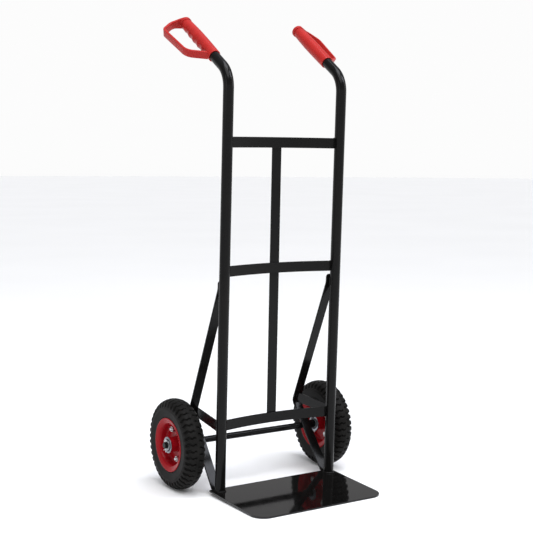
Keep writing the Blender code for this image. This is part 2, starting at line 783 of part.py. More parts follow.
def set_on_floor(truck):
    """Put the truck's lowest point on z = 0 and centre its box on the origin."""
    bpy.context.view_layer.update()
    graph = bpy.context.evaluated_depsgraph_get()
    points = []
    for item in bpy.data.objects:
        if item.type == "MESH" and not item.hide_render:
            finished = item.evaluated_get(graph)
            points += [item.matrix_world @ v.co for v in finished.data.vertices]
    y = [p.y for p in points]
    truck.location = (0.0, -(min(y) + max(y)) / 2, -min(p.z for p in points))


def build_truck():
    """Build every piece under one leaning empty."""
    truck = add_empty("truck")
    truck.rotation_euler = (lean_angle(), 0.0, 0.0)
    for name in CROSS_BARS:
        build_cross_bar(name, truck)
    build_centre_strip(truck)
    build_toe_plate(truck)
    build_axle(truck)
    for side in SIDES:
        build_rail(side, truck)
        build_side_brace(side, truck)
        build_axle_stay(side, truck)
        build_axle_saddle(side, truck)
        brace_side = brace_centre_x(AXLE_Z) + BRACE_WIDTH / 2 + 1.0 * MM
        wheel_side = WHEEL_OUTER_X + GAP
        build_sleeve("spacer", side, brace_side, WHEEL_INNER_X - GAP, SPACER_R, BLACK_PAINT, truck)
        build_sleeve("washer", side, wheel_side, wheel_side + WASHER_THICK, WASHER_R, ZINC, truck)
        build_split_pin(side, truck)
        build_handle(side, truck)
        build_wheel(side, truck)
    set_on_floor(truck)


clear_scene()
build_truck()
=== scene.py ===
"""Looks of the two-wheeled hand truck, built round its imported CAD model.

Lengths in the shape code are millimetres in the truck's own frame: x to the right, y back from
the rails' plane, z up from the toe plate's top. TRUCK carries that frame to the row's metres.
"""

import json
import math

import bmesh
import bpy
import numpy as np
from mathutils import Matrix, Vector


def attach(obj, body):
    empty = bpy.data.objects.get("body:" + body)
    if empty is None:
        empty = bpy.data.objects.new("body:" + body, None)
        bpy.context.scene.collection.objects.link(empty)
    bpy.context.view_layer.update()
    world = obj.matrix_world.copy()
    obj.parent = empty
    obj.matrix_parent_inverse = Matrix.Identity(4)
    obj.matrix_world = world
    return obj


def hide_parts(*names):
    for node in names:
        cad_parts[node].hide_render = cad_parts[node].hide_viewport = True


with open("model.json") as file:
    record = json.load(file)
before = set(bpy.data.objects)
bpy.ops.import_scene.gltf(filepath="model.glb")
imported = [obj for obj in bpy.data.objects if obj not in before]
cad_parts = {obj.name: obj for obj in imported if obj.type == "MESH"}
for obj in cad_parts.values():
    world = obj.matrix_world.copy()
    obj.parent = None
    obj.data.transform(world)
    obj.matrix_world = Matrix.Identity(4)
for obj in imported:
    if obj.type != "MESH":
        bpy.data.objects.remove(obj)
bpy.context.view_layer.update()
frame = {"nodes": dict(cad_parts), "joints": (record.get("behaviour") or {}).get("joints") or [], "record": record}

MM = 0.001
SIDES = {"left": -1, "right": 1}

# Rails
RAIL_X = 156.8
RAIL_R = 12.5
RAIL_WALL = 1.5
RAIL_BEND_Z = 974.4
RAIL_BEND_R = 60.0
HANDLE_RISE = 0.598
HANDLE_LEG = 76.2
HANDLE_SPLAY = 0.024
TUBE_IN_GRIP = 103.0

# Flat bars
BAR_HEIGHT = 25.0
BAR_THICK = 4.0
BAR_END_Y = 6.0
BAR_EDGE_R = 0.8
BAR_STEPS = 40
CROSS_BARS = {
    "upper_cross_bar": (819.0, 29.0),
    "middle_cross_bar": (521.0, 25.7),
    "lower_cross_bar": (154.7, 21.7),
}
STRIP_HALF = 12.5
STRIP_Z = (148.0, 826.0)

# Toe plate
PLATE_HALF_WIDTH = 176.4
PLATE_THICK = 4.0
PLATE_FRONT_Y = -203.6
PLATE_REAR_Y = 17.7
PLATE_CORNER_R = 34.0
PLATE_REAR_CORNER_R = 2.0
PLATE_EASE = 0.7

# Axle and wheels
AXLE_Y = 113.9
AXLE_Z = 93.1
AXLE_R = 8.0
AXLE_HALF = 248.0
WHEEL_X = 213.0
TYRE_R = 109.4
BOLT_CIRCLE_R = 36.0
BOLT_PHASE = {"left": math.radians(21), "right": math.radians(45)}
HUB_R = 18.0
HUB_BORE_R = 16.0
HUB_HALF = 23.6
BEARING_FLANGE = 1.8
BEARING_FLANGE_R = 19.8
GAP = 0.3
WHEEL_OUTER_X = WHEEL_X + HUB_HALF + GAP + BEARING_FLANGE
WHEEL_INNER_X = WHEEL_X - HUB_HALF - GAP - BEARING_FLANGE
PIN_X = WHEEL_OUTER_X + 5.2
PIN_STRAND = 0.95
PIN_WIRE_R = 0.8
PIN_EYE_R = 3.0
SPACER_R = 10.5
WASHER_R = 13.0
WASHER_THICK = 2.0

# Bearings, rims and their bolts
BEARING_DEPTH = 12.0
BALLS = 11
BALL_R = 2.1
BALL_CIRCLE_R = 12.2
HUB_WELD_AT = 3.0
HUB_WELD_R = 1.3
RIM_THICK = 2.0
BOLTS = 4
BOLT_R = 4.0
THREAD_ROOT_R = 3.55
THREAD_PITCH = 1.25
HEX_HALF_FLATS = 6.5
HEX_CORNER_R = 7.5
HEX_CHAMFER_R = 6.2
HEX_CHAMFER_TOP_R = 7.05

# Side braces and stays
BRACE_X = 153.4
BRACE_HALF = 12.0
BRACE_TOP_Z = 500.0
BRACE_TOP_R = 8.0
BRACE_BEND_Z = 479.5
BRACE_KNEE = (145.4, 152.2)
BRACE_KNEE_R = 14.0
BRACE_BEND_R = 30.0
BRACE_FOOT_Y = 15.0
LEG_SPLAY = 4.1
STAY_REAR = (151.0, 174.0)
STAY_FRONT = (162.5, 168.5)
STAY_THICK = 4.0
STAY_CORNER = (22.0, 8.0)
STAY_STANDOFF = 0.8

# Weld bead radii
FOOT_BEAD_R = 1.9
BRACE_BEAD_R = 1.8
BRACE_FOOT_BEAD_R = 1.6
BAR_BEAD_R = 1.5
STAY_BEAD_R = 1.4
STRIP_BEAD_R = 1.3
BAR_TOP_BEAD_R = 1.2

# Handles
GRIP_MOUTH = -1.5
GRIP_LENGTH = 153.0
GRIP_BORE_R = 12.8
GRIP_R = 15.8
GRIP_SWELL = 0.5
GRIP_SWELL_AT = 78.0
GRIP_SWELL_REACH = 60.0
GRIP_TAPER = 0.025
GRIP_TAPER_FROM = 95.0
CAP_THICK = 8.0
CAP_R = 14.9
CAP_INSET = 0.8
SCALLOP_PITCH = 24.0
SCALLOP_FIRST = 26.0
SCALLOP_COUNT = 5
SCALLOP_DEPTH = 2.0
GUARD_DROOP = math.radians(18)
GUARD_HALF_WIDTH = 9.6
GUARD_THICK = 5.4
GUARD_EDGE_R = 1.1
GUARD_WIDENING = 3.9
GUARD_EDGE = [(13.4, 6.3), (55.4, 36.4), (65.3, 144.7), (34.0, 166.0), (-14.0, 161.0)]
GUARD_RADII = [38.0, 13.0, 33.0]

# Tread
LUGS = 42
LUG_SAMPLES = 16
GROOVE_DEPTH = 4.6
GROOVE_HALF_WIDTH = 1.9
GROOVE_FLARE = 2.0
GROOVE_WAVE = 1.6
GROOVE_WAVE_LENGTH = 12.0
GROOVE_LEAN = 0.08
RIB_HALF_WIDTH = 3.2
LANE_AT = 4.6
LANE_DEPTH = 1.1
SHOULDER_R = 89.5

# Segments round turned pieces
RING_SEGMENTS = 48
SPACER_SEGMENTS = 40
HUB_SEGMENTS = 64
GRIP_SEGMENTS = 72
RIM_SEGMENTS = 96
WELD_SEGMENTS = 10


# ---------------------------------------------------------------- frames

def truck_matrix():
    """The truck's own frame in the row frame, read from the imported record."""
    normal = Vector(frame["record"]["mounts"][0]["axis"])
    lean = math.atan2(normal.y, -normal.z)
    turn = Matrix.Rotation(lean, 4, "X")
    wheel = Vector(frame["joints"][0]["pos_m"])
    axle = turn @ Vector((0.0, AXLE_Y * MM, AXLE_Z * MM))
    place = Matrix.Translation((0.0, wheel.y - axle.y, wheel.z - axle.z))
    return place @ turn @ Matrix.Scale(MM, 4)


TRUCK = truck_matrix()


def wheel_matrix(side):
    """Wheel frame: X out along the axle, origin at the middle of the wheel."""
    sign = SIDES[side]
    turn = Matrix.Rotation(0.0 if sign > 0 else math.pi, 4, "Z")
    return TRUCK @ Matrix.Translation((sign * WHEEL_X, AXLE_Y, AXLE_Z)) @ turn


# ---------------------------------------------------------------- mesh helpers

class Shape:
    """Points and faces that are gathered before they become a mesh."""

    def __init__(self):
        self.points = []
        self.faces = []

    def add(self, points, faces, matrix=None):
        """Append one closed body, moved by a matrix if there is one."""
        start = len(self.points)
        if matrix is not None:
            points = [matrix @ Vector(p) for p in points]
        self.points += [tuple(p) for p in points]
        self.faces += [tuple(i + start for i in face) for face in faces]
        return self


def skin(rings, loop=False):
    """Join rings of points into a surface, with flat caps unless the rings close on themselves."""
    points = [p for ring in rings for p in ring]
    count = len(rings[0])
    faces = []
    last = len(rings) if loop else len(rings) - 1
    for i in range(last):
        a = i * count
        b = ((i + 1) % len(rings)) * count
        for k in range(count):
            n = (k + 1) % count
            faces.append((a + k, a + n, b + n, b + k))
    if not loop:
        faces.append(tuple(range(count))[::-1])
        faces.append(tuple(range(len(points) - count, len(points))))
    return points, faces


def turned(profile, segments, radius_at=None):
    """Turn (along, radius) points about X; a profile off the axis at both ends closes on itself."""
    solid = profile[0][1] == 0.0
    inner = profile[1:-1] if solid else profile
    rings = []
    for along, radius in inner:
        ring = []
        for k in range(segments):
            angle = math.tau * k / segments
            r = radius_at(along, radius, angle) if radius_at else radius
            ring.append((along, r * math.sin(angle), r * math.cos(angle)))
        rings.append(ring)
    return skin(rings, loop=not solid)


NEARLY_STRAIGHT = 0.02
CORNER_SHARE = 0.49


def fillet(points, radii, steps=6, closed=False):
    """Round the corners of a flat path; radii is one number or one per corner."""
    count = len(points)
    corners = range(count) if closed else range(1, count - 1)
    if not isinstance(radii, (list, tuple)):
        radii = [radii] * len(corners)
    path = [] if closed else [Vector(points[0])]
    for radius, i in zip(radii, corners):
        corner = Vector(points[i])
        back = Vector(points[i - 1]) - corner
        ahead = Vector(points[(i + 1) % count]) - corner
        bend = back.angle(ahead)
        if radius <= 0.0 or bend > math.pi - NEARLY_STRAIGHT:
            path.append(corner)
            continue
        room = CORNER_SHARE * min(back.length, ahead.length)
        reach = min(room, radius / math.tan(bend / 2))
        radius = reach * math.tan(bend / 2)
        back.normalize()
        ahead.normalize()
        centre = corner + (back + ahead).normalized() * radius / math.sin(bend / 2)
        start = corner + back * reach - centre
        sign = 1.0 if back.cross(ahead) < 0 else -1.0
        for k in range(steps + 1):
            turn = Matrix.Rotation(sign * (math.pi - bend) * k / steps, 2)
            path.append(centre + turn @ start)
    if not closed:
        path.append(Vector(points[-1]))
    return path


def offset_path(path, distance):
    """Move a flat path to its left by a distance."""
    moved = []
    for i, point in enumerate(path):
        along = (path[min(i + 1, len(path) - 1)] - path[max(i - 1, 0)]).normalized()
        moved.append(point + Vector((-along.y, along.x)) * distance)
    return moved


def arc(radius, start, end, steps, centre=(0.0, 0.0)):
    """Points on a circle from one angle to another."""
    points = []
    for k in range(steps + 1):
        angle = start + (end - start) * k / steps
        points.append((centre[0] + radius * math.cos(angle), centre[1] + radius * math.sin(angle)))
    return points


def smooth_path(points, per_span):
    """Catmull-Rom curve through points of any dimension."""
    pts = [Vector(p) for p in points]
    pts = [2 * pts[0] - pts[1]] + pts + [2 * pts[-1] - pts[-2]]
    path = []
    for a, b, c, d in zip(pts, pts[1:], pts[2:], pts[3:]):
        for k in range(per_span):
            t = k / per_span
            path.append(0.5 * (2 * b + (c - a) * t + (2 * a - 5 * b + 4 * c - d) * t * t
                               + (3 * b - a - 3 * c + d) * t ** 3))
    path.append(pts[-2])
    return path


def box_section(thick, low, high, radius):
    """Rounded rectangle in (depth, width), as a ring of points."""
    corners = [(0.0, low), (thick, low), (thick, high), (0.0, high)]
    return fillet(corners, radius, 3, closed=True)


def strap(front, rear, place, half_widths, radius=BAR_EDGE_R):
    """Flat bar between two flat paths; half_widths gives its half width at each station."""
    rings = []
    for a, b, half in zip(front, rear, half_widths):
        a, b = Vector(a), Vector(b)
        section = box_section((b - a).length, -half, half, min(radius, half * 0.6))
        across = (b - a).normalized()
        rings.append([place(a + across * p.x, p.y) for p in section])
    return skin(rings)


def swept(path, radius, segments, reference, closed=False):
    """Round section along a path in space; radius is a number or a function of distance."""
    pts = [Vector(p) for p in path]
    rings = []
    run = 0.0
    count = len(pts)
    for i, point in enumerate(pts):
        before = pts[i - 1] if closed else pts[max(i - 1, 0)]
        after = pts[(i + 1) % count] if closed else pts[min(i + 1, count - 1)]
        along = (after - before).normalized()
        if i:
            run += (point - pts[i - 1]).length
        side = along.cross(Vector(reference)).normalized()
        up = side.cross(along)
        r = radius(run) if callable(radius) else radius
        rings.append([point + (side * math.cos(t) + up * math.sin(t)) * r
                      for t in (math.tau * k / segments for k in range(segments))])
    return skin(rings, loop=closed)


def bead(start, end, radius, reference):
    """A short weld bead: overlapping puddles, with rounded ends."""
    start, end = Vector(start), Vector(end)
    length = (end - start).length
    steps = max(8, int(length / 0.45))
    pitch = 2.1

    def radius_at(run):
        puddle = abs(math.sin(math.pi * run / pitch + 0.4))
        fade = math.sqrt(max(0.02, min(1.0, min(run, length - run) / radius)))
        return radius * (0.82 + 0.2 * puddle) * fade

    path = [start.lerp(end, k / steps) for k in range(steps + 1)]
    return swept(path, radius_at, WELD_SEGMENTS, reference)


def add_object(name, data):
    """Put a mesh, a light or a camera into the scene."""
    item = bpy.data.objects.new(name, data)
    bpy.context.scene.collection.objects.link(item)
    return item


def solid_mesh(name, shape, look, place):
    """A mesh of closed bodies, moved by a matrix, with every face turned outwards."""
    mesh = bpy.data.meshes.new(name)
    mesh.from_pydata([place @ Vector(p) for p in shape.points], [], shape.faces)
    work = bmesh.new()
    work.from_mesh(mesh)
    bmesh.ops.recalc_face_normals(work, faces=work.faces)
    work.to_mesh(mesh)
    work.free()
    mesh.materials.append(look)
    return mesh


def shade(mesh, crease):
    """Smooth shading, but for edges sharper than an angle in degrees."""
    mesh.shade_smooth()
    mesh.set_sharp_from_angle(angle=math.radians(crease))


def make_piece(name, shape, body, slot, replaced=(), matrix=None, crease=40.0, flat_bars=False,
               look=None):
    """Turn a shape into a named piece that rides on a body and stands for its CAD nodes."""
    mesh = solid_mesh(name, shape, look or LOOKS[slot], TRUCK if matrix is None else matrix)
    shade(mesh, crease)
    piece = add_object(name, mesh)
    if flat_bars:
        weights = piece.modifiers.new("even_shading", "WEIGHTED_NORMAL")
        weights.keep_sharp = True
    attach(piece, body)
    if replaced:
        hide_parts(*replaced)
    return piece


# ---------------------------------------------------------------- materials

def ramp(tree, source, stops):
    """A colour ramp driven by a socket."""
    node = tree.nodes.new("ShaderNodeValToRGB")
    while len(node.color_ramp.elements) < len(stops):
        node.color_ramp.elements.new(0.5)
    for element, (position, colour) in zip(node.color_ramp.elements, stops):
        element.position = position
        element.color = (*colour, 1.0)
    tree.links.new(source, node.inputs["Fac"])
    return node.outputs["Color"]


def noise(tree, coords, scale, detail=4.0, roughness=0.5, stretch=None):
    """Noise over the object's own coordinates, scale in cycles per metre."""
    node = tree.nodes.new("ShaderNodeTexNoise")
    node.inputs["Scale"].default_value = scale
    node.inputs["Detail"].default_value = detail
    node.inputs["Roughness"].default_value = roughness
    if stretch:
        mapping = tree.nodes.new("ShaderNodeMapping")
        mapping.inputs["Scale"].default_value = stretch
        tree.links.new(coords, mapping.inputs["Vector"])
        coords = mapping.outputs["Vector"]
    tree.links.new(coords, node.inputs["Vector"])
    return node.outputs["Fac"]


def spread(tree, source, low, high, source_low=0.3, source_high=0.7):
    """Map a noise value to a range."""
    node = tree.nodes.new("ShaderNodeMapRange")
    node.inputs["From Min"].default_value = source_low
    node.inputs["From Max"].default_value = source_high
    node.inputs["To Min"].default_value = low
    node.inputs["To Max"].default_value = high
    tree.links.new(source, node.inputs["Value"])
    return node.outputs["Result"]


def bump(tree, source, strength, distance, under=None):
    """A bump layer, on top of another one if given."""
    node = tree.nodes.new("ShaderNodeBump")
    node.inputs["Strength"].default_value = strength
    node.inputs["Distance"].default_value = distance
    tree.links.new(source, node.inputs["Height"])
    if under is not None:
        tree.links.new(under, node.inputs["Normal"])
    return node.outputs["Normal"]


def start_look(name):
    """An empty material with a Principled shader and object coordinates."""
    look = bpy.data.materials.new(name)
    look.use_nodes = True
    tree = look.node_tree
    shader = tree.nodes["Principled BSDF"]
    coords = tree.nodes.new("ShaderNodeTexCoord").outputs["Object"]
    return look, tree, shader, coords


def paint(name, dark, light, rough, level, peel):
    """Sprayed enamel: slight colour drift, uneven gloss and orange peel."""
    look, tree, shader, coords = start_look(name)
    drift = noise(tree, coords, 9.0, 3.0)
    tree.links.new(ramp(tree, drift, [(0.3, dark), (0.7, light)]), shader.inputs["Base Color"])
    gloss = noise(tree, coords, 45.0, 5.0)
    tree.links.new(spread(tree, gloss, rough[0], rough[1]), shader.inputs["Roughness"])
    ripple = bump(tree, noise(tree, coords, 380.0, 1.0), peel, 0.00008)
    sag = bump(tree, noise(tree, coords, 22.0, 1.0), peel * 0.8, 0.0010, ripple)
    tree.links.new(sag, shader.inputs["Normal"])
    shader.inputs["Specular IOR Level"].default_value = level
    return look


def moulded_plastic(name):
    """Satin red plastic with faint flow marks and rubbed patches."""
    look, tree, shader, coords = start_look(name)
    drift = noise(tree, coords, 28.0, 2.0)
    stops = [(0.3, (0.350, 0.0165, 0.0140)), (0.7, (0.395, 0.0195, 0.0165))]
    tree.links.new(ramp(tree, drift, stops), shader.inputs["Base Color"])
    rub = noise(tree, coords, 60.0, 3.0)
    tree.links.new(spread(tree, rub, 0.26, 0.34), shader.inputs["Roughness"])
    flow = bump(tree, noise(tree, coords, 70.0, 2.0), 0.05, 0.0005)
    tree.links.new(flow, shader.inputs["Normal"])
    shader.inputs["Specular IOR Level"].default_value = 0.15
    return look


def tyre_rubber(name):
    """Moulded rubber: fine pores, a dull bloom, and lug edges mixed paler by their pointiness, partly scuffing and
    partly a painted edge highlight.
    """
    look, tree, shader, coords = start_look(name)
    bloom = noise(tree, coords, 35.0, 6.0, 0.6)
    base = ramp(tree, bloom, [(0.3, (0.0068, 0.0065, 0.0061)), (0.72, (0.0118, 0.0113, 0.0107))])
    edge = tree.nodes.new("ShaderNodeNewGeometry").outputs["Pointiness"]
    # Pointy lug edges are mixed towards a paler grey: partly scuffing, partly a painted edge highlight.
    scuff_and_edge_highlight = spread(tree, edge, 0.0, 0.5, 0.52, 0.62)
    mix = tree.nodes.new("ShaderNodeMix")
    mix.data_type = "RGBA"
    mix.inputs["B"].default_value = (0.022, 0.0215, 0.022, 1.0)
    tree.links.new(scuff_and_edge_highlight, mix.inputs["Factor"])
    tree.links.new(base, mix.inputs["A"])
    tree.links.new(mix.outputs["Result"], shader.inputs["Base Color"])
    tree.links.new(spread(tree, bloom, 0.36, 0.52), shader.inputs["Roughness"])
    pores = bump(tree, noise(tree, coords, 1400.0, 2.0), 0.15, 0.00005)
    lumps = bump(tree, noise(tree, coords, 160.0, 3.0), 0.12, 0.0003, pores)
    tree.links.new(lumps, shader.inputs["Normal"])
    shader.inputs["Specular IOR Level"].default_value = 0.05
    return look


def zinc_plate(name, tint=(0.54, 0.54, 0.525)):
    """Bright zinc with a faint yellow and blue passivation and fine machining lines."""
    look, tree, shader, coords = start_look(name)
    patch = noise(tree, coords, 120.0, 4.0)
    cool = tuple(c * s for c, s in zip(tint, (0.86, 0.93, 1.02)))
    tree.links.new(ramp(tree, patch, [(0.35, tint), (0.65, cool)]), shader.inputs["Base Color"])
    shader.inputs["Metallic"].default_value = 1.0
    streak = noise(tree, coords, 420.0, 3.0, stretch=(6.0, 1.0, 1.0))
    tree.links.new(spread(tree, streak, 0.20, 0.40), shader.inputs["Roughness"])
    tree.links.new(bump(tree, streak, 0.10, 0.0002), shader.inputs["Normal"])
    return look


LOOKS = {
    "frame_paint": paint("frame_paint", (0.0032, 0.0031, 0.0030), (0.0046, 0.0044, 0.0042),
                         (0.14, 0.22), 0.14, 0.05),
    "plate_paint": paint("plate_paint", (0.0034, 0.0032, 0.0031), (0.0048, 0.0046, 0.0043),
                         (0.045, 0.085), 0.38, 0.025),
    "wheel_paint": paint("wheel_paint", (0.235, 0.0035, 0.0070), (0.285, 0.0050, 0.0100),
                         (0.16, 0.26), 0.10, 0.05),
    "grip_plastic": moulded_plastic("grip_plastic"),
    "tyre_rubber": tyre_rubber("tyre_rubber"),
    "tube_rubber": tyre_rubber("tube_rubber"),
    "zinc": zinc_plate("zinc"),
    # The bearings take the zinc look in a much darker tint: partly the steel's own duller tone, partly painted
    # shade for the hub's hollow middle.
    "bearing_steel_painted_shade": zinc_plate("bearing_steel_painted_shade", (0.24, 0.24, 0.25)),
}


# ---------------------------------------------------------------- frame pieces

def rail_centre_x(y):
    """The rails stand parallel, and their upper legs splay a little as they run back."""
    return RAIL_X + HANDLE_SPLAY * max(0.0, y - RAIL_R)


def rail_path():
    """Centre line of a rail in the Y-Z plane."""
    slope = math.atan(HANDLE_RISE)
    run = HANDLE_LEG + TUBE_IN_GRIP
    top = (run * math.cos(slope), RAIL_BEND_Z + run * math.sin(slope))
    path = fillet([(0.0, GAP), (0.0, RAIL_BEND_Z), top], RAIL_BEND_R, 28)
    upright = [Vector((0.0, GAP + (path[1].y - GAP) * k / 12)) for k in range(12)]
    return upright + path[1:]


def build_rail(side):
    """Round tube from its foot on the toe plate to its open end inside the grip."""
    sign = SIDES[side]
    path = rail_path()
    rings = []
    for radius in (RAIL_R, RAIL_R - RAIL_WALL):
        tube = []
        for i, point in enumerate(path):
            before, after = path[max(i - 1, 0)], path[min(i + 1, len(path) - 1)]
            along = (after - before).normalized()
            normal = Vector((-along.y, along.x))
            ring = []
            for k in range(RING_SEGMENTS):
                angle = math.tau * k / RING_SEGMENTS
                flat = point + normal * radius * math.cos(angle)
                ring.append((sign * rail_centre_x(flat.x) + radius * math.sin(angle), flat.x, flat.y))
            tube.append(ring)
        rings.append(tube)
    shape = Shape().add(*skin(rings[0] + rings[1][::-1], loop=True))
    make_piece("rail_tube_" + side, shape, "frame", "frame_paint", ["rail_" + side])


def rail_surface_x(y):
    """Where a bar that meets a rail's inboard side ends at depth y."""
    return RAIL_X - math.sqrt(RAIL_R ** 2 - y ** 2) - 2 * GAP


def bowed_line(end_x, end_y, centre_y):
    """Circular arc in the X-Y plane between the rails."""
    rise = centre_y - end_y
    radius = (end_x ** 2 + rise ** 2) / (2 * rise)
    half = math.asin(end_x / radius)
    return arc(radius, math.pi / 2 + half, math.pi / 2 - half, BAR_STEPS, (0.0, centre_y - radius))


def build_cross_bar(name):
    """Bowed flat bar with eased edges, its ends cut to the rails."""
    z, depth = CROSS_BARS[name]
    rear_y = BAR_END_Y + BAR_THICK
    front = bowed_line(rail_surface_x(BAR_END_Y), BAR_END_Y, depth)
    rear = bowed_line(rail_surface_x(rear_y), rear_y, depth + BAR_THICK)

    def place(p, w):
        return Vector((p.x, p.y, z + w))

    shape = Shape().add(*strap(front, rear, place, [BAR_HEIGHT / 2] * len(front)))
    make_piece(name + "_bar", shape, "frame", "frame_paint", [name], flat_bars=True)


def strip_front_y(z):
    """Front face of the centre strip, which lies on the backs of the bars."""
    top_z, top_y = CROSS_BARS["upper_cross_bar"]
    low_z, low_y = CROSS_BARS["lower_cross_bar"]
    slope = (top_y - low_y) / (top_z - low_z)
    sag = (2 * STRIP_HALF) ** 2 / (8 * RAIL_X)
    return low_y + BAR_THICK + GAP + sag + slope * (z - low_z)


def build_centre_strip():
    """Straight flat bar up the backs of the cross bars."""
    front = [(strip_front_y(z), z) for z in STRIP_Z]
    rear = [(y + BAR_THICK, z) for y, z in front]

    def place(p, w):
        return Vector((w, p.x, p.y))

    shape = Shape().add(*strap(front, rear, place, [STRIP_HALF] * 2))
    make_piece("centre_strip_bar", shape, "frame", "frame_paint", ["centre_strip"], flat_bars=True)


def build_toe_plate():
    """Flat plate with large round front corners and softened sheared edges."""
    w, ease = PLATE_HALF_WIDTH, PLATE_EASE
    corners = [(w, PLATE_REAR_Y), (-w, PLATE_REAR_Y), (-w, PLATE_FRONT_Y), (w, PLATE_FRONT_Y)]
    rings = []
    for inset, z in [(ease, 0.0), (0.3 * ease, -0.3 * ease), (0.0, -ease),
                     (0.0, ease - PLATE_THICK), (0.3 * ease, 0.3 * ease - PLATE_THICK),
                     (ease, -PLATE_THICK)]:
        inner = [(x - math.copysign(inset, x), y + (inset if y < 0 else -inset)) for x, y in corners]
        radii = [PLATE_REAR_CORNER_R - inset] * 2 + [PLATE_CORNER_R - inset] * 2
        outline = fillet(inner, radii, 24, closed=True)
        rings.append([Vector((p.x, p.y, z)) for p in outline])
    shape = Shape().add(*skin(rings))
    make_piece("toe_plate_sheet", shape, "frame", "plate_paint", ["toe_plate"], flat_bars=True)


def brace_front():
    """Front face of a side brace in the Y-Z plane, from the top end down to the foot."""
    lie_y = RAIL_R + GAP
    points = [(lie_y, BRACE_TOP_Z), (lie_y, BRACE_BEND_Z), BRACE_KNEE, (BRACE_FOOT_Y, 0.0)]
    path = fillet(points, [BRACE_BEND_R, BRACE_KNEE_R], 14)
    ends = [Vector((lie_y, BRACE_TOP_Z - d)) for d in (0.0, 0.2, 0.7, 1.5, 2.5, 4.0, 6.0, 8.0)]
    return ends + path[1:]


def brace_front_y(z):
    """Depth of the brace's front face at height z, below the knee's middle."""
    path = brace_front()
    for above, below in zip(path, path[1:]):
        if below.y <= z <= above.y:
            part = (z - below.y) / (above.y - below.y)
            return below.x + (above.x - below.x) * part
    return path[-1].x


def cut_level(path, z):
    """End a downward path at height z."""
    before, after = path[-2], path[-1]
    part = (before.y - z) / (before.y - after.y)
    return path[:-1] + [before.lerp(after, part)]


def brace_centre_x(z):
    """The bar stands upright above the knee, and its leg splays a little towards the foot."""
    return BRACE_X + LEG_SPLAY * max(0.0, 1.0 - z / BRACE_KNEE[1])


def brace_half_width(p):
    """Full width, but for the rounded top end."""
    drop = min(BRACE_TOP_R, max(0.0, BRACE_TOP_Z - p.y))
    return BRACE_HALF - BRACE_TOP_R + math.sqrt(BRACE_TOP_R ** 2 - (BRACE_TOP_R - drop) ** 2)


def build_side_brace(side):
    """Flat bar bent at the knee, with a rounded top end."""
    sign = SIDES[side]
    front = cut_level(brace_front(), GAP)
    rear = cut_level(offset_path(brace_front(), BAR_THICK), GAP)

    def place(p, w):
        return Vector((sign * brace_centre_x(p.y) + w, p.x, p.y))

    widths = [brace_half_width(p) for p in front]
    shape = Shape().add(*strap(front, rear, place, widths))
    make_piece("side_brace_bar_" + side, shape, "frame", "frame_paint",
               ["side_brace_" + side], flat_bars=True)


def stay_frame(side):
    """Front depth of a stay and the map from its own plane to the truck."""
    front_x = STAY_FRONT[0]
    offset = front_x - STAY_THICK / 2 - RAIL_X
    front_y = math.sqrt(RAIL_R ** 2 - offset ** 2) + GAP
    run = BRACE_KNEE[0] - front_y

    def place(u, v, w):
        x = front_x + (STAY_REAR[0] - front_x) * (u - front_y) / run
        return Vector((SIDES[side] * x + w, u, v))

    return front_y, place


def build_axle_stay(side):
    """Upright plate from the rail's back to the inside of the brace's knee."""
    front_y, place = stay_frame(side)
    front_z, rear_z = STAY_FRONT[1], STAY_REAR[1]
    cut_back, cut_up = STAY_CORNER
    low_z = rear_z - BAR_HEIGHT + cut_up
    rear = []
    for k in range(9):
        z = low_z + (rear_z - low_z) * k / 8
        rear.append((brace_front_y(z) - STAY_STANDOFF, z))
    corner = (rear[0][0] - cut_back, rear_z - BAR_HEIGHT)
    outline = [(front_y, front_z), (front_y, front_z - BAR_HEIGHT), corner] + rear
    middle = Vector((sum(p[0] for p in outline), sum(p[1] for p in outline))) / len(outline)
    rings = []
    for inset, w in [(0.5, -2.0), (0.15, -1.85), (0.0, -1.5), (0.0, 1.5), (0.15, 1.85), (0.5, 2.0)]:
        ring = []
        for u, v in outline:
            towards = Vector((math.copysign(inset, middle.x - u), math.copysign(inset, middle.y - v)))
            ring.append(place(u + towards.x, v + towards.y, w))
        rings.append(ring)
    shape = Shape().add(*skin(rings))
    make_piece("axle_stay_plate_" + side, shape, "frame", "frame_paint",
               ["axle_stay_" + side], flat_bars=True)


def foot_bead(side):
    """Weld round the foot of a rail, on the toe plate."""
    steps, ring_r, height, pitch = 180, RAIL_R + 0.5, 0.9, 2.4
    path = []
    for k in range(steps):
        angle = math.tau * k / steps
        path.append((SIDES[side] * RAIL_X + ring_r * math.cos(angle), ring_r * math.sin(angle), height))

    def radius(run):
        puddle = abs(math.sin(math.pi * run / pitch))
        return FOOT_BEAD_R + 0.35 * puddle + 0.25 * math.sin(run / 7.0)

    return swept(path, radius, WELD_SEGMENTS, (0, 0, 1), closed=True)


def cross_bar_beads(shape, sign):
    """Beads before, behind and above the end of every cross bar."""
    for z, _ in CROSS_BARS.values():
        low, high = z - BAR_HEIGHT / 2 + 1.0, z + BAR_HEIGHT / 2 - 1.0
        for y in (BAR_END_Y - 0.4, BAR_END_Y + BAR_THICK + 0.4):
            x = sign * (rail_surface_x(min(y, 11.0)) - 0.2)
            shape.add(*bead((x, y, low), (x, y, high), BAR_BEAD_R, (0, 1, 0)))
        x = sign * (rail_surface_x(BAR_END_Y + 2) - 0.4)
        top = high + 1.2
        shape.add(*bead((x, BAR_END_Y, top), (x, BAR_END_Y + 4, top), BAR_TOP_BEAD_R, (1, 0, 0)))


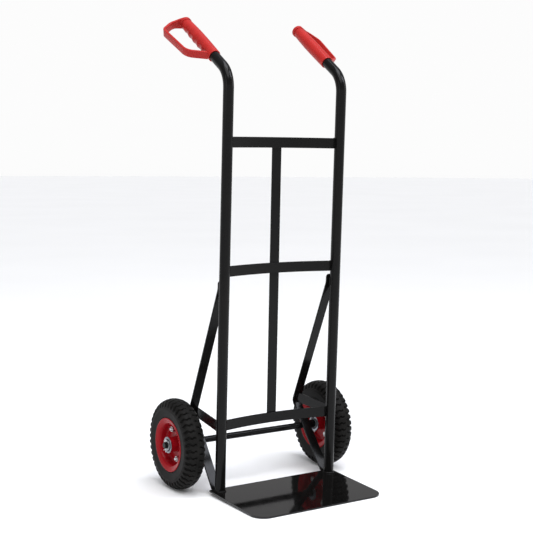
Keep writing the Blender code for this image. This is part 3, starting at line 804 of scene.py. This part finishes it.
def brace_beads(shape, sign):
    """Beads down both edges of a side brace's top end, and across the front of its foot."""
    for edge in (-9.5, 8.0):
        x = sign * BRACE_X + edge
        y = math.sqrt(max(0.0, RAIL_R ** 2 - (x - sign * RAIL_X) ** 2)) + 1.5
        low, high = (x, y, BRACE_TOP_Z - 26), (x, y, BRACE_TOP_Z - 6)
        shape.add(*bead(low, high, BRACE_BEAD_R, (0, 1, 0)))
    foot_x, foot_y = sign * brace_centre_x(0.0), BRACE_FOOT_Y - 0.6
    left, right = (foot_x - 11, foot_y, 0.8), (foot_x + 11, foot_y, 0.8)
    shape.add(*bead(left, right, BRACE_FOOT_BEAD_R, (0, 0, 1)))


def stay_beads(shape, side):
    """Beads on both faces of a stay, along the rail and along the brace."""
    front_y, place = stay_frame(side)
    for w in (-2.6, 2.6):
        low = place(front_y - 0.3, STAY_FRONT[1] - BAR_HEIGHT + 1, w)
        high = place(front_y - 0.3, STAY_FRONT[1] - 1, w)
        shape.add(*bead(low, high, STAY_BEAD_R, (0, 1, 0)))
        low_z, high_z = STAY_REAR[1] - 16, STAY_REAR[1] - 2
        low = place(brace_front_y(low_z) - 0.9, low_z, w)
        high = place(brace_front_y(high_z) - 0.9, high_z, w)
        shape.add(*bead(low, high, STAY_BEAD_R, (0, 1, 0)))


def build_welds():
    """Painted weld beads where the frame's pieces meet."""
    shape = Shape()
    for side, sign in SIDES.items():
        shape.add(*foot_bead(side))
        cross_bar_beads(shape, sign)
        brace_beads(shape, sign)
        stay_beads(shape, side)
    for z, _ in CROSS_BARS.values():
        y = strip_front_y(z) - 0.1
        low = z - BAR_HEIGHT / 2 + 4
        high = min(z + BAR_HEIGHT / 2 - 4, STRIP_Z[1] - 1)
        for x in (-STRIP_HALF - 0.5, STRIP_HALF + 0.5):
            shape.add(*bead((x, y, low), (x, y, high), STRIP_BEAD_R, (0, 1, 0)))
    make_piece("weld_beads", shape, "frame", "frame_paint", crease=60.0)


# ---------------------------------------------------------------- axle pieces

def axle_matrix(side):
    """Frame of one end of the axle: X outboard from the truck's middle."""
    turn = Matrix.Rotation(0.0 if SIDES[side] > 0 else math.pi, 4, "Z")
    return TRUCK @ Matrix.Translation((0.0, AXLE_Y, AXLE_Z)) @ turn


def build_axle():
    """Round bar with chamfered ends."""
    end = AXLE_HALF
    half = [(-end, 0.0), (-end, AXLE_R - 1.3), (0.4 - end, AXLE_R - 0.9), (1.4 - end, AXLE_R)]
    profile = half + [(-a, r) for a, r in half[::-1]]
    shape = Shape().add(*turned(profile, RING_SEGMENTS))
    make_piece("axle_bar", shape, "frame", "frame_paint", ["axle"],
               TRUCK @ Matrix.Translation((0.0, AXLE_Y, AXLE_Z)))


def ring_profile(near, far, bore, radius, ease):
    """Section of a plain ring with rounded edges."""
    corners = [(near, bore), (near, radius), (far, radius), (far, bore)]
    return [tuple(p) for p in fillet(corners, ease, 4, closed=True)]


def build_sleeves(side):
    """Spacer inboard of a wheel and washer outboard of it."""
    near = brace_centre_x(AXLE_Z) + BRACE_HALF + 1.0
    spacer = ring_profile(near, WHEEL_INNER_X - GAP, AXLE_R + GAP, SPACER_R, 0.8)
    shape = Shape().add(*turned(spacer, SPACER_SEGMENTS))
    make_piece("spacer_ring_" + side, shape, "frame", "frame_paint",
               ["spacer_" + side], axle_matrix(side))
    face = WHEEL_OUTER_X + GAP
    washer = ring_profile(face, face + WASHER_THICK, AXLE_R + GAP, WASHER_R, 0.35)
    shape = Shape().add(*turned(washer, RING_SEGMENTS))
    make_piece("washer_ring_" + side, shape, "frame", "zinc", ["washer_" + side], axle_matrix(side))


def build_split_pin(side):
    """Doubled wire through the axle: eye above, legs bent apart below."""
    eye_z = AXLE_R + 4.2
    gape = math.asin(PIN_STRAND / PIN_EYE_R)
    leg = [(9.0, -AXLE_R - 5.5), (6.2, -AXLE_R - 5.1), (3.2, -AXLE_R - 3.8),
           (PIN_STRAND, -AXLE_R - 0.8)]
    eye = arc(PIN_EYE_R, gape - math.pi / 2, 1.5 * math.pi - gape, 16, (0.0, eye_z))
    back = [(-PIN_STRAND, -AXLE_R - 0.8), (-2.2, -AXLE_R - 8.5)]
    flat = smooth_path(leg, 5) + [Vector(p) for p in eye + back]
    path = [(SIDES[side] * PIN_X, p.x, p.y) for p in flat]
    place = TRUCK @ Matrix.Translation((0.0, AXLE_Y, AXLE_Z))
    shape = Shape().add(*swept(path, PIN_WIRE_R, 12, (1, 0, 0)))
    make_piece("split_pin_wire_" + side, shape, "frame", "zinc", ["split_pin_" + side], place)


# ---------------------------------------------------------------- wheels

def tyre_outside():
    """Outer section of the tyre from one bead to the other, with moulded sidewall lines."""
    half = [(14.0, 52.5), (17.2, 52.7), (19.2, 55.3), (21.9, 64.0), (22.6, 65.4), (24.3, 66.4),
            (24.2, 68.8), (24.8, 73.0), (25.9, 82.4), (26.15, 84.0), (25.9, 85.6), (25.6, 90.0),
            (24.9, 94.5), (23.2, 99.2), (20.5, 102.6), (16.6, 105.4), (12.0, 107.3), (6.0, 109.0)]
    points = half + [(0.0, TYRE_R)] + [(-a, r) for a, r in half[::-1]]
    return smooth_path(points, 3)


def smooth_step(x):
    """0 below 0, 1 above 1, smooth between."""
    x = np.clip(x, 0.0, 1.0)
    return x * x * (3.0 - 2.0 * x)


def groove_at(across, radius, angle, side_sign):
    """Depth of the tread grooves over a grid of section points and angles."""
    pitch = math.tau * TYRE_R / LUGS
    wide = np.abs(across)
    wave = GROOVE_WAVE * np.sin(math.tau * (wide - 4.0) / GROOVE_WAVE_LENGTH) + GROOVE_LEAN * wide
    stagger = np.where(across * side_sign > 0, 0.0, 0.5)
    turn = angle * LUGS / math.tau + stagger + wave / pitch
    off = np.abs((turn % 1.0) - 0.5) * pitch
    half_width = GROOVE_HALF_WIDTH + GROOVE_FLARE * smooth_step((wide - 12.0) / 11.0)
    wall = 1.0 - smooth_step((off - half_width + 0.7) / 1.3)
    rib = smooth_step((wide - RIB_HALF_WIDTH) / 1.6)
    end = smooth_step((radius - SHOULDER_R) / 3.5)
    shoulder = 1.0 + 0.10 * smooth_step((wide - 18.0) / 4.0)
    lane = LANE_DEPTH * np.exp(-((wide - LANE_AT) / 1.0) ** 2) * smooth_step((radius - 100.0) / 3.0)
    return GROOVE_DEPTH * wall * rib * end * shoulder + lane


def build_tyre(side):
    """Tyre with a centre rib, wavy side lugs that run over the shoulders, and a hollow inside."""
    section = tyre_outside()
    count = LUGS * LUG_SAMPLES
    across = np.array([p.x for p in section])[:, None]
    radius = np.array([p.y for p in section])[:, None]
    slope_a = np.gradient(across[:, 0])[:, None]
    slope_r = np.gradient(radius[:, 0])[:, None]
    length = np.hypot(slope_a, slope_r)
    angle = (math.tau * np.arange(count) / count)[None, :]
    depth = groove_at(across, radius, angle, SIDES[side])
    outside_a = across - slope_r / length * depth
    outside_r = radius + slope_a / length * depth
    inside = fillet([(-15.5, 60.0), (-20.0, 71.0), (-21.4, 84.0), (-18.0, 96.0), (0.0, 102.0),
                     (18.0, 96.0), (21.4, 84.0), (20.0, 71.0), (15.5, 60.0)], 8.0, 3)
    rings = [list(zip(row_a, row_r * np.sin(angle[0]), row_r * np.cos(angle[0])))
             for row_a, row_r in zip(outside_a, outside_r)]
    rings += [[(p.x, p.y * math.sin(t), p.y * math.cos(t)) for t in angle[0]] for p in inside]
    shape = Shape().add(*skin(rings, loop=True))
    make_piece("tyre_tread_" + side, shape, "wheel_" + side, "tyre_rubber",
               ["tyre_" + side], wheel_matrix(side), 38.0)


def rim_section():
    """Section of one pressed rim half, face side out and back along the tyre side."""
    front = [(2.2, HUB_R + GAP), (2.2, 43.6), (5.0, 46.6), (16.6, 49.2), (20.6, 51.4), (22.3, 54.8),
             (25.0, 62.6), (24.7, 64.6), (23.8, 64.8)]
    back = [(22.9, 63.4), (20.5, 55.8), (18.9, 53.2), (16.2, 51.5), (3.4, 48.9), (0.2, 45.6),
            (0.2, HUB_R + GAP)]
    radii = [0.3, 3.0, 3.0, 6.0, 5.0, 6.0, 1.6, 0.6, 0.6, 1.0, 5.0, 3.0, 5.0, 2.5, 2.0, 0.3]
    path = fillet(front + back, radii, 5, closed=True)
    return [tuple(p) for p in path]


def build_rims(side):
    """Two pressed rim halves, back to back."""
    for name, facing in (("rim_outer", 1), ("rim_inner", -1)):
        profile = [(facing * a, r) for a, r in rim_section()]
        shape = Shape().add(*turned(profile, RIM_SEGMENTS))
        make_piece(name + "_pressing_" + side, shape, "wheel_" + side,
                   "wheel_paint", [name + "_" + side], wheel_matrix(side), 50.0)


def build_hub(side):
    """Red hub tube, with a weld ring where each rim half meets it."""
    tube = ring_profile(-HUB_HALF, HUB_HALF, HUB_BORE_R, HUB_R, 0.5)
    shape = Shape().add(*turned(tube, HUB_SEGMENTS))
    ripples = 44
    for facing in (-1, 1):
        weld = []
        for k in range(WELD_SEGMENTS):
            t = math.tau * k / WELD_SEGMENTS
            weld.append((facing * HUB_WELD_AT + HUB_WELD_R * math.cos(t),
                         HUB_R + 0.5 + HUB_WELD_R * math.sin(t)))

        def ripple(along, radius, angle):
            return radius + 0.18 * math.sin(angle * ripples)

        shape.add(*turned(weld, 3 * ripples, ripple))
    make_piece("hub_tube_" + side, shape, "wheel_" + side, "wheel_paint",
               ["hub_" + side], wheel_matrix(side))


def bearing_ball():
    """One ball, as a half circle turned about X."""
    half = [(-BALL_R * math.cos(t), BALL_R * math.sin(t)) for t in
            (math.pi * j / 8 for j in range(1, 8))]
    return turned([(-BALL_R, 0.0)] + half + [(BALL_R, 0.0)], 12)


def build_bearings(side):
    """Pressed steel bearing cup in each end of the hub, with its cone and a ring of balls."""
    seat = HUB_HALF + GAP
    out = seat + BEARING_FLANGE
    cup = [(seat - BEARING_DEPTH, 13.6), (seat - BEARING_DEPTH, 15.7), (seat, 15.7),
           (seat, BEARING_FLANGE_R), (out - 0.5, BEARING_FLANGE_R), (out, BEARING_FLANGE_R - 0.6),
           (out, 15.6), (out - 0.6, 14.8), (seat - 4.0, 14.4), (seat - 6.0, 13.6)]
    cup = fillet(cup, [0.3, 0.3, 0.2, 0.4, 0.5, 0.4, 0.8, 0.8, 2.0, 1.0], 3, closed=True)
    cone = [(seat - 10, 8.4), (seat - 10, 9.6), (seat - 4.5, 10.0), (seat - 1.5, 11.2),
            (out - 0.6, 11.2), (out, 10.6), (out, 8.4)]
    cone = fillet(cone, 0.5, 3, closed=True)
    for name, facing in (("bearing_outer", 1), ("bearing_inner", -1)):
        shape = Shape().add(*turned([(facing * p.x, p.y) for p in cup], HUB_SEGMENTS))
        shape.add(*turned([(facing * p.x, p.y) for p in cone], RING_SEGMENTS))
        for k in range(BALLS):
            angle = math.tau * k / BALLS
            centre = (facing * (seat - 2.2), BALL_CIRCLE_R * math.sin(angle),
                      BALL_CIRCLE_R * math.cos(angle))
            shape.add(*bearing_ball(), Matrix.Translation(centre))
        # Cups, cones and balls get the darkened bearing look, which paints the shade of the hub's hollow middle
        # into their colour.
        make_piece(name + "_cup_" + side, shape, "wheel_" + side, "zinc",
                   [name + "_" + side], wheel_matrix(side), look=LOOKS["bearing_steel_painted_shade"])


def hexagon(along, radius, angle):
    """Cut the widest rings of a turned profile to a hexagon with its corners turned down."""
    flat = HEX_HALF_FLATS / math.cos((angle % (math.pi / 3)) - math.pi / 6)
    return min(flat, radius) if radius > HEX_CHAMFER_R + 0.1 else radius


def bolt_profile():
    """Section of a bolt, from the middle of its head to the tip of its thread."""
    seat = GAP / 2 + RIM_THICK + GAP
    head, tip = seat + 5.3, seat + 9.5
    profile = [(-head, 0.0), (-head, HEX_CHAMFER_R), (0.3 - head, HEX_CHAMFER_TOP_R),
               (0.9 - head, HEX_CORNER_R), (-seat, HEX_CORNER_R), (-seat, BOLT_R)]
    along = -seat
    while along < tip - 1.0:
        profile += [(along, BOLT_R), (along + 0.6, THREAD_ROOT_R)]
        along += THREAD_PITCH
    return profile + [(tip - 0.8, 3.6), (tip, 2.9), (tip, 0.0)]


def nut_profile():
    """Section of a nut, open through its middle."""
    seat = GAP / 2 + RIM_THICK + GAP
    end = seat + 6.3
    return [(seat, 4.3), (seat, HEX_CORNER_R), (end - 0.9, HEX_CORNER_R),
            (end - 0.3, HEX_CHAMFER_TOP_R), (end, HEX_CHAMFER_R), (end, 4.9), (end - 0.7, 4.3)]


def build_bolts(side):
    """Hexagon bolts through the rim halves, with chamfered heads and nuts and cut threads."""
    sign = SIDES[side]
    for k in range(BOLTS):
        angle = BOLT_PHASE[side] + math.tau / BOLTS * k
        centre = (0.0, sign * BOLT_CIRCLE_R * math.sin(angle), BOLT_CIRCLE_R * math.cos(angle))
        twist = Matrix.Rotation(0.7 * k + 0.4 * sign, 4, "X")
        place = wheel_matrix(side) @ Matrix.Translation(centre) @ twist
        label = "%s_%d" % (side, k + 1)
        for name, node, profile in (("bolt_", "rim_bolt_", bolt_profile()),
                                    ("nut_", "rim_nut_", nut_profile())):
            shape = Shape().add(*turned(profile, RING_SEGMENTS, hexagon))
            make_piece(name + label, shape, "wheel_" + side, "zinc", [node + label], place, 35.0)


# ---------------------------------------------------------------- handles

def handle_matrix(side):
    """Local X along the grip, local Y out along the drooping guard, local Z square to its loop."""
    slope = math.atan(HANDLE_RISE)
    sideways = Vector((SIDES[side], 0.0, 0.0))
    along = Vector((0.0, math.cos(slope), math.sin(slope)))
    start = along * HANDLE_LEG + Vector((0.0, 0.0, RAIL_BEND_Z))
    start += sideways * rail_centre_x(start.y)
    along = (along + sideways * HANDLE_SPLAY * along.y).normalized()
    below = (along.cross(sideways) * SIDES[side]).normalized()
    level = (below.cross(along) * SIDES[side]).normalized()
    out = level * math.cos(GUARD_DROOP) + below * math.sin(GUARD_DROOP)
    matrix = Matrix((along, out, along.cross(out))).transposed().to_4x4()
    matrix.translation = start
    return TRUCK @ matrix


def grip_surface(along):
    """Radius of the grip, fullest in the palm and tapering towards the cap."""
    swell = GRIP_SWELL * ((along - GRIP_SWELL_AT) / GRIP_SWELL_REACH) ** 2
    return GRIP_R - swell - GRIP_TAPER * max(0.0, along - GRIP_TAPER_FROM)


def grip_body():
    """Sleeve of the grip with its finger scallops, rounded mouth, groove and end cap."""
    depth = TUBE_IN_GRIP + 2.0
    first = SCALLOP_FIRST - SCALLOP_PITCH / 2
    last = first + SCALLOP_PITCH * SCALLOP_COUNT
    mouth = GRIP_MOUTH
    profile = [(depth, 0.0), (depth, GRIP_BORE_R), (60.0, GRIP_BORE_R), (mouth + 0.5, GRIP_BORE_R)]
    profile += [(mouth, 13.2), (mouth, 14.2), (mouth + 0.4, 14.8), (mouth + 1.2, 15.1)]
    for along in range(1, int(GRIP_LENGTH) - 9):
        profile.append((float(along), grip_surface(along)))
    cap = GRIP_LENGTH
    profile += [(cap - 7.0, 13.7), (cap - 3.5, 13.2), (cap - 1.4, 12.6), (cap - 0.4, 12.5)]
    profile += [(cap, 13.0), (cap, 14.1), (cap + 0.5, 14.7), (cap + 1.2, CAP_R)]
    end = cap + CAP_THICK
    profile += [(end - 1.2, CAP_R), (end - 0.4, 14.6), (end, 13.8), (end, 0.0)]

    def radius_at(along, radius, angle):
        if radius < GRIP_BORE_R + 1.0 or not first < along < last:
            return radius
        facing = max(0.0, math.sin(angle)) ** 1.5
        phase = (along - first) / SCALLOP_PITCH
        scoop = abs(math.sin(math.pi * phase)) ** 0.85
        return radius - SCALLOP_DEPTH * facing * scoop

    return turned(profile, GRIP_SEGMENTS, radius_at)


def guard_half_width(u, v):
    """The strap is even until it flows into the grip's end cap."""
    if v < GRIP_LENGTH:
        return GUARD_HALF_WIDTH
    if u < 4.0:
        return math.sqrt(max(CAP_R ** 2 - u * u, 1.0)) - CAP_INSET
    return GUARD_HALF_WIDTH + GUARD_WIDENING * smooth_step((30.0 - u) / 26.0)


def guard_body():
    """Strap of the knuckle guard, a rounded flat section along its outline."""
    path = fillet(GUARD_EDGE, GUARD_RADII, 16)
    tail, end, steps = path[-2], path[-1], 24
    path = path[:-1] + [tail.lerp(end, k / steps) for k in range(1, steps + 1)]
    inner = offset_path(path, GUARD_THICK)
    run = inner[1] - inner[0]
    inner[0] += run * (path[0].x - inner[0].x) / run.x

    def place(p, w):
        return Vector((p.y, p.x, w))

    widths = [guard_half_width(p.x, p.y) for p in path]
    return strap(path, inner, place, widths, GUARD_EDGE_R)


def apply_modifiers(piece):
    """Replace a mesh by what its modifiers make of it."""
    bpy.context.view_layer.update()
    graph = bpy.context.evaluated_depsgraph_get()
    finished = bpy.data.meshes.new_from_object(piece.evaluated_get(graph))
    piece.modifiers.clear()
    piece.data = finished


def build_handle(side):
    """Grip and guard joined into one moulding."""
    flip = Matrix.Scale(-1.0, 4, (0, 0, 1)) if SIDES[side] < 0 else Matrix.Identity(4)
    place = handle_matrix(side) @ flip
    moulding = make_piece("handle_moulding_" + side, Shape().add(*grip_body()),
                          "frame", "grip_plastic", ["handle_" + side], place)
    name = "guard_" + side
    mesh = solid_mesh(name, Shape().add(*guard_body()), LOOKS["grip_plastic"], place)
    guard = add_object(name, mesh)
    union = moulding.modifiers.new("join", "BOOLEAN")
    union.operation = "UNION"
    union.object = guard
    apply_modifiers(moulding)
    bpy.data.objects.remove(guard, do_unlink=True)
    shade(moulding.data, 38.0)


# ---------------------------------------------------------------- kept CAD nodes

def dress_kept_nodes():
    """Give every CAD node that still shows the material of its slot."""
    slots = {row["node"]: row["material_slot"] for row in frame["record"]["subparts"]}
    for name, node in frame["nodes"].items():
        if node.hide_render:
            continue
        look = LOOKS[slots[name]]
        if not node.material_slots:
            node.data.materials.append(look)
        for place in node.material_slots:
            place.material = look


# ---------------------------------------------------------------- studio

CAMERA_PLACE = (-1464.0, -2221.9, 876.7)
CAMERA_YAW = -0.569
CAMERA_PITCH = -0.131
CAMERA_ROLL = 0.026
LENS = 76.36

# In metres, from here on
FLOOR_R = 40.0
TRUCK_MIDDLE = (0.0, 0.0, 0.55)

# Name, place, target, size, power in watts and colour
AREA_LIGHTS = [
    ("overhead", (0.3, -0.3, 3.2), (0.1, 0.0, 0.3), (1.5, 1.2), 30.0, (0.90, 0.93, 1.0)),
    ("right_overhead", (1.75, -1.7, 3.1), (0.0, 0.05, 0.1), (1.3, 1.1), 42.0, (0.88, 0.91, 1.0)),
    ("left_box", (-2.9, -0.6, 1.7), TRUCK_MIDDLE, (0.7, 1.6), 6.0, (0.95, 0.97, 1.0)),
    ("right_box", (2.6, -1.4, 1.9), TRUCK_MIDDLE, (0.7, 1.6), 12.0, (1.0, 0.98, 0.96)),
]
SUN_STRENGTH = 2.0
SUN_ANGLE = math.radians(50)
SUN_TURN = (math.radians(28), math.radians(-14), 0.0)


def build_camera():
    """Camera on the load side, to the left of the truck and level with the upper bar."""
    cos_p, sin_p = math.cos(CAMERA_PITCH), math.sin(CAMERA_PITCH)
    ahead = Vector((-math.sin(CAMERA_YAW) * cos_p, math.cos(CAMERA_YAW) * cos_p, sin_p))
    right = Vector((math.cos(CAMERA_YAW), math.sin(CAMERA_YAW), 0.0))
    up = right.cross(ahead)
    cos_r, sin_r = math.cos(CAMERA_ROLL), math.sin(CAMERA_ROLL)
    side = right * cos_r + up * sin_r
    top = up * cos_r - right * sin_r
    pose = Matrix((side, top, -ahead)).transposed().to_4x4()
    pose.translation = Vector(CAMERA_PLACE)
    data = bpy.data.cameras.new("camera")
    data.sensor_width = 36.0
    data.lens = LENS
    data.clip_start = 0.05
    data.clip_end = 200.0
    camera = add_object("camera", data)
    place, turn, _ = (TRUCK @ pose).decompose()
    camera.matrix_world = Matrix.LocRotScale(place, turn, None)
    bpy.context.scene.camera = camera


def build_world():
    """Soft studio surroundings: pale low wall, greyer above, bright overhead."""
    world = bpy.data.worlds.new("studio")
    bpy.context.scene.world = world
    world.use_nodes = True
    tree = world.node_tree
    back = tree.nodes["Background"]
    coords = tree.nodes.new("ShaderNodeTexCoord").outputs["Generated"]
    split = tree.nodes.new("ShaderNodeSeparateXYZ")
    tree.links.new(coords, split.inputs["Vector"])
    height = spread(tree, split.outputs["Z"], 0.0, 1.0, -1.0, 1.0)
    stops = [(0.0, (0.8, 0.8, 0.8)), (0.5, (0.975, 0.975, 0.975)), (0.57, (0.975, 0.975, 0.975)),
             (0.61, (0.50, 0.49, 0.48)), (0.75, (0.34, 0.34, 0.36)), (1.0, (0.55, 0.57, 0.62))]
    tree.links.new(ramp(tree, height, stops), back.inputs["Color"])
    back.inputs["Strength"].default_value = 1.0


def add_area(name, place, target, size, power, colour):
    """A soft box that faces a point."""
    data = bpy.data.lights.new(name, "AREA")
    data.shape = "RECTANGLE"
    data.size, data.size_y = size
    data.energy = power
    data.color = colour
    aim = (Vector(target) - Vector(place)).to_track_quat("-Z", "Y").to_matrix().to_4x4()
    add_object(name, data).matrix_world = Matrix.Translation(place) @ aim


def build_studio():
    """Pale floor, overhead and side soft boxes, and a broad sun for even light."""
    look, tree, shader, coords = start_look("floor")
    stain = noise(tree, coords, 0.8, 2.0)
    tree.links.new(ramp(tree, stain, [(0.3, (0.915, 0.915, 0.91)), (0.7, (0.935, 0.935, 0.93))]),
                   shader.inputs["Base Color"])
    shader.inputs["Roughness"].default_value = 0.8
    shader.inputs["Specular IOR Level"].default_value = 0.2
    ring = [(p[0], p[1], 0.0) for p in arc(FLOOR_R, 0.0, math.tau, 64)[:-1]]
    mesh = bpy.data.meshes.new("floor")
    mesh.from_pydata(ring, [], [tuple(range(len(ring)))])
    mesh.materials.append(look)
    floor = add_object("floor", mesh)
    for light in AREA_LIGHTS:
        add_area(*light)
    data = bpy.data.lights.new("soft_sun", "SUN")
    data.energy = SUN_STRENGTH
    data.angle = SUN_ANGLE
    add_object("soft_sun", data).rotation_euler = SUN_TURN
    bpy.context.scene.view_settings.view_transform = "Standard"


# ---------------------------------------------------------------- whole truck

def build_truck():
    """Build every piece."""
    for name in CROSS_BARS:
        build_cross_bar(name)
    build_centre_strip()
    build_toe_plate()
    build_axle()
    for side in SIDES:
        build_rail(side)
        build_side_brace(side)
        build_axle_stay(side)
        build_sleeves(side)
        build_split_pin(side)
        build_tyre(side)
        build_rims(side)
        build_hub(side)
        build_bearings(side)
        build_bolts(side)
        build_handle(side)
    build_welds()
    dress_kept_nodes()


build_truck()
build_camera()
build_world()
build_studio()
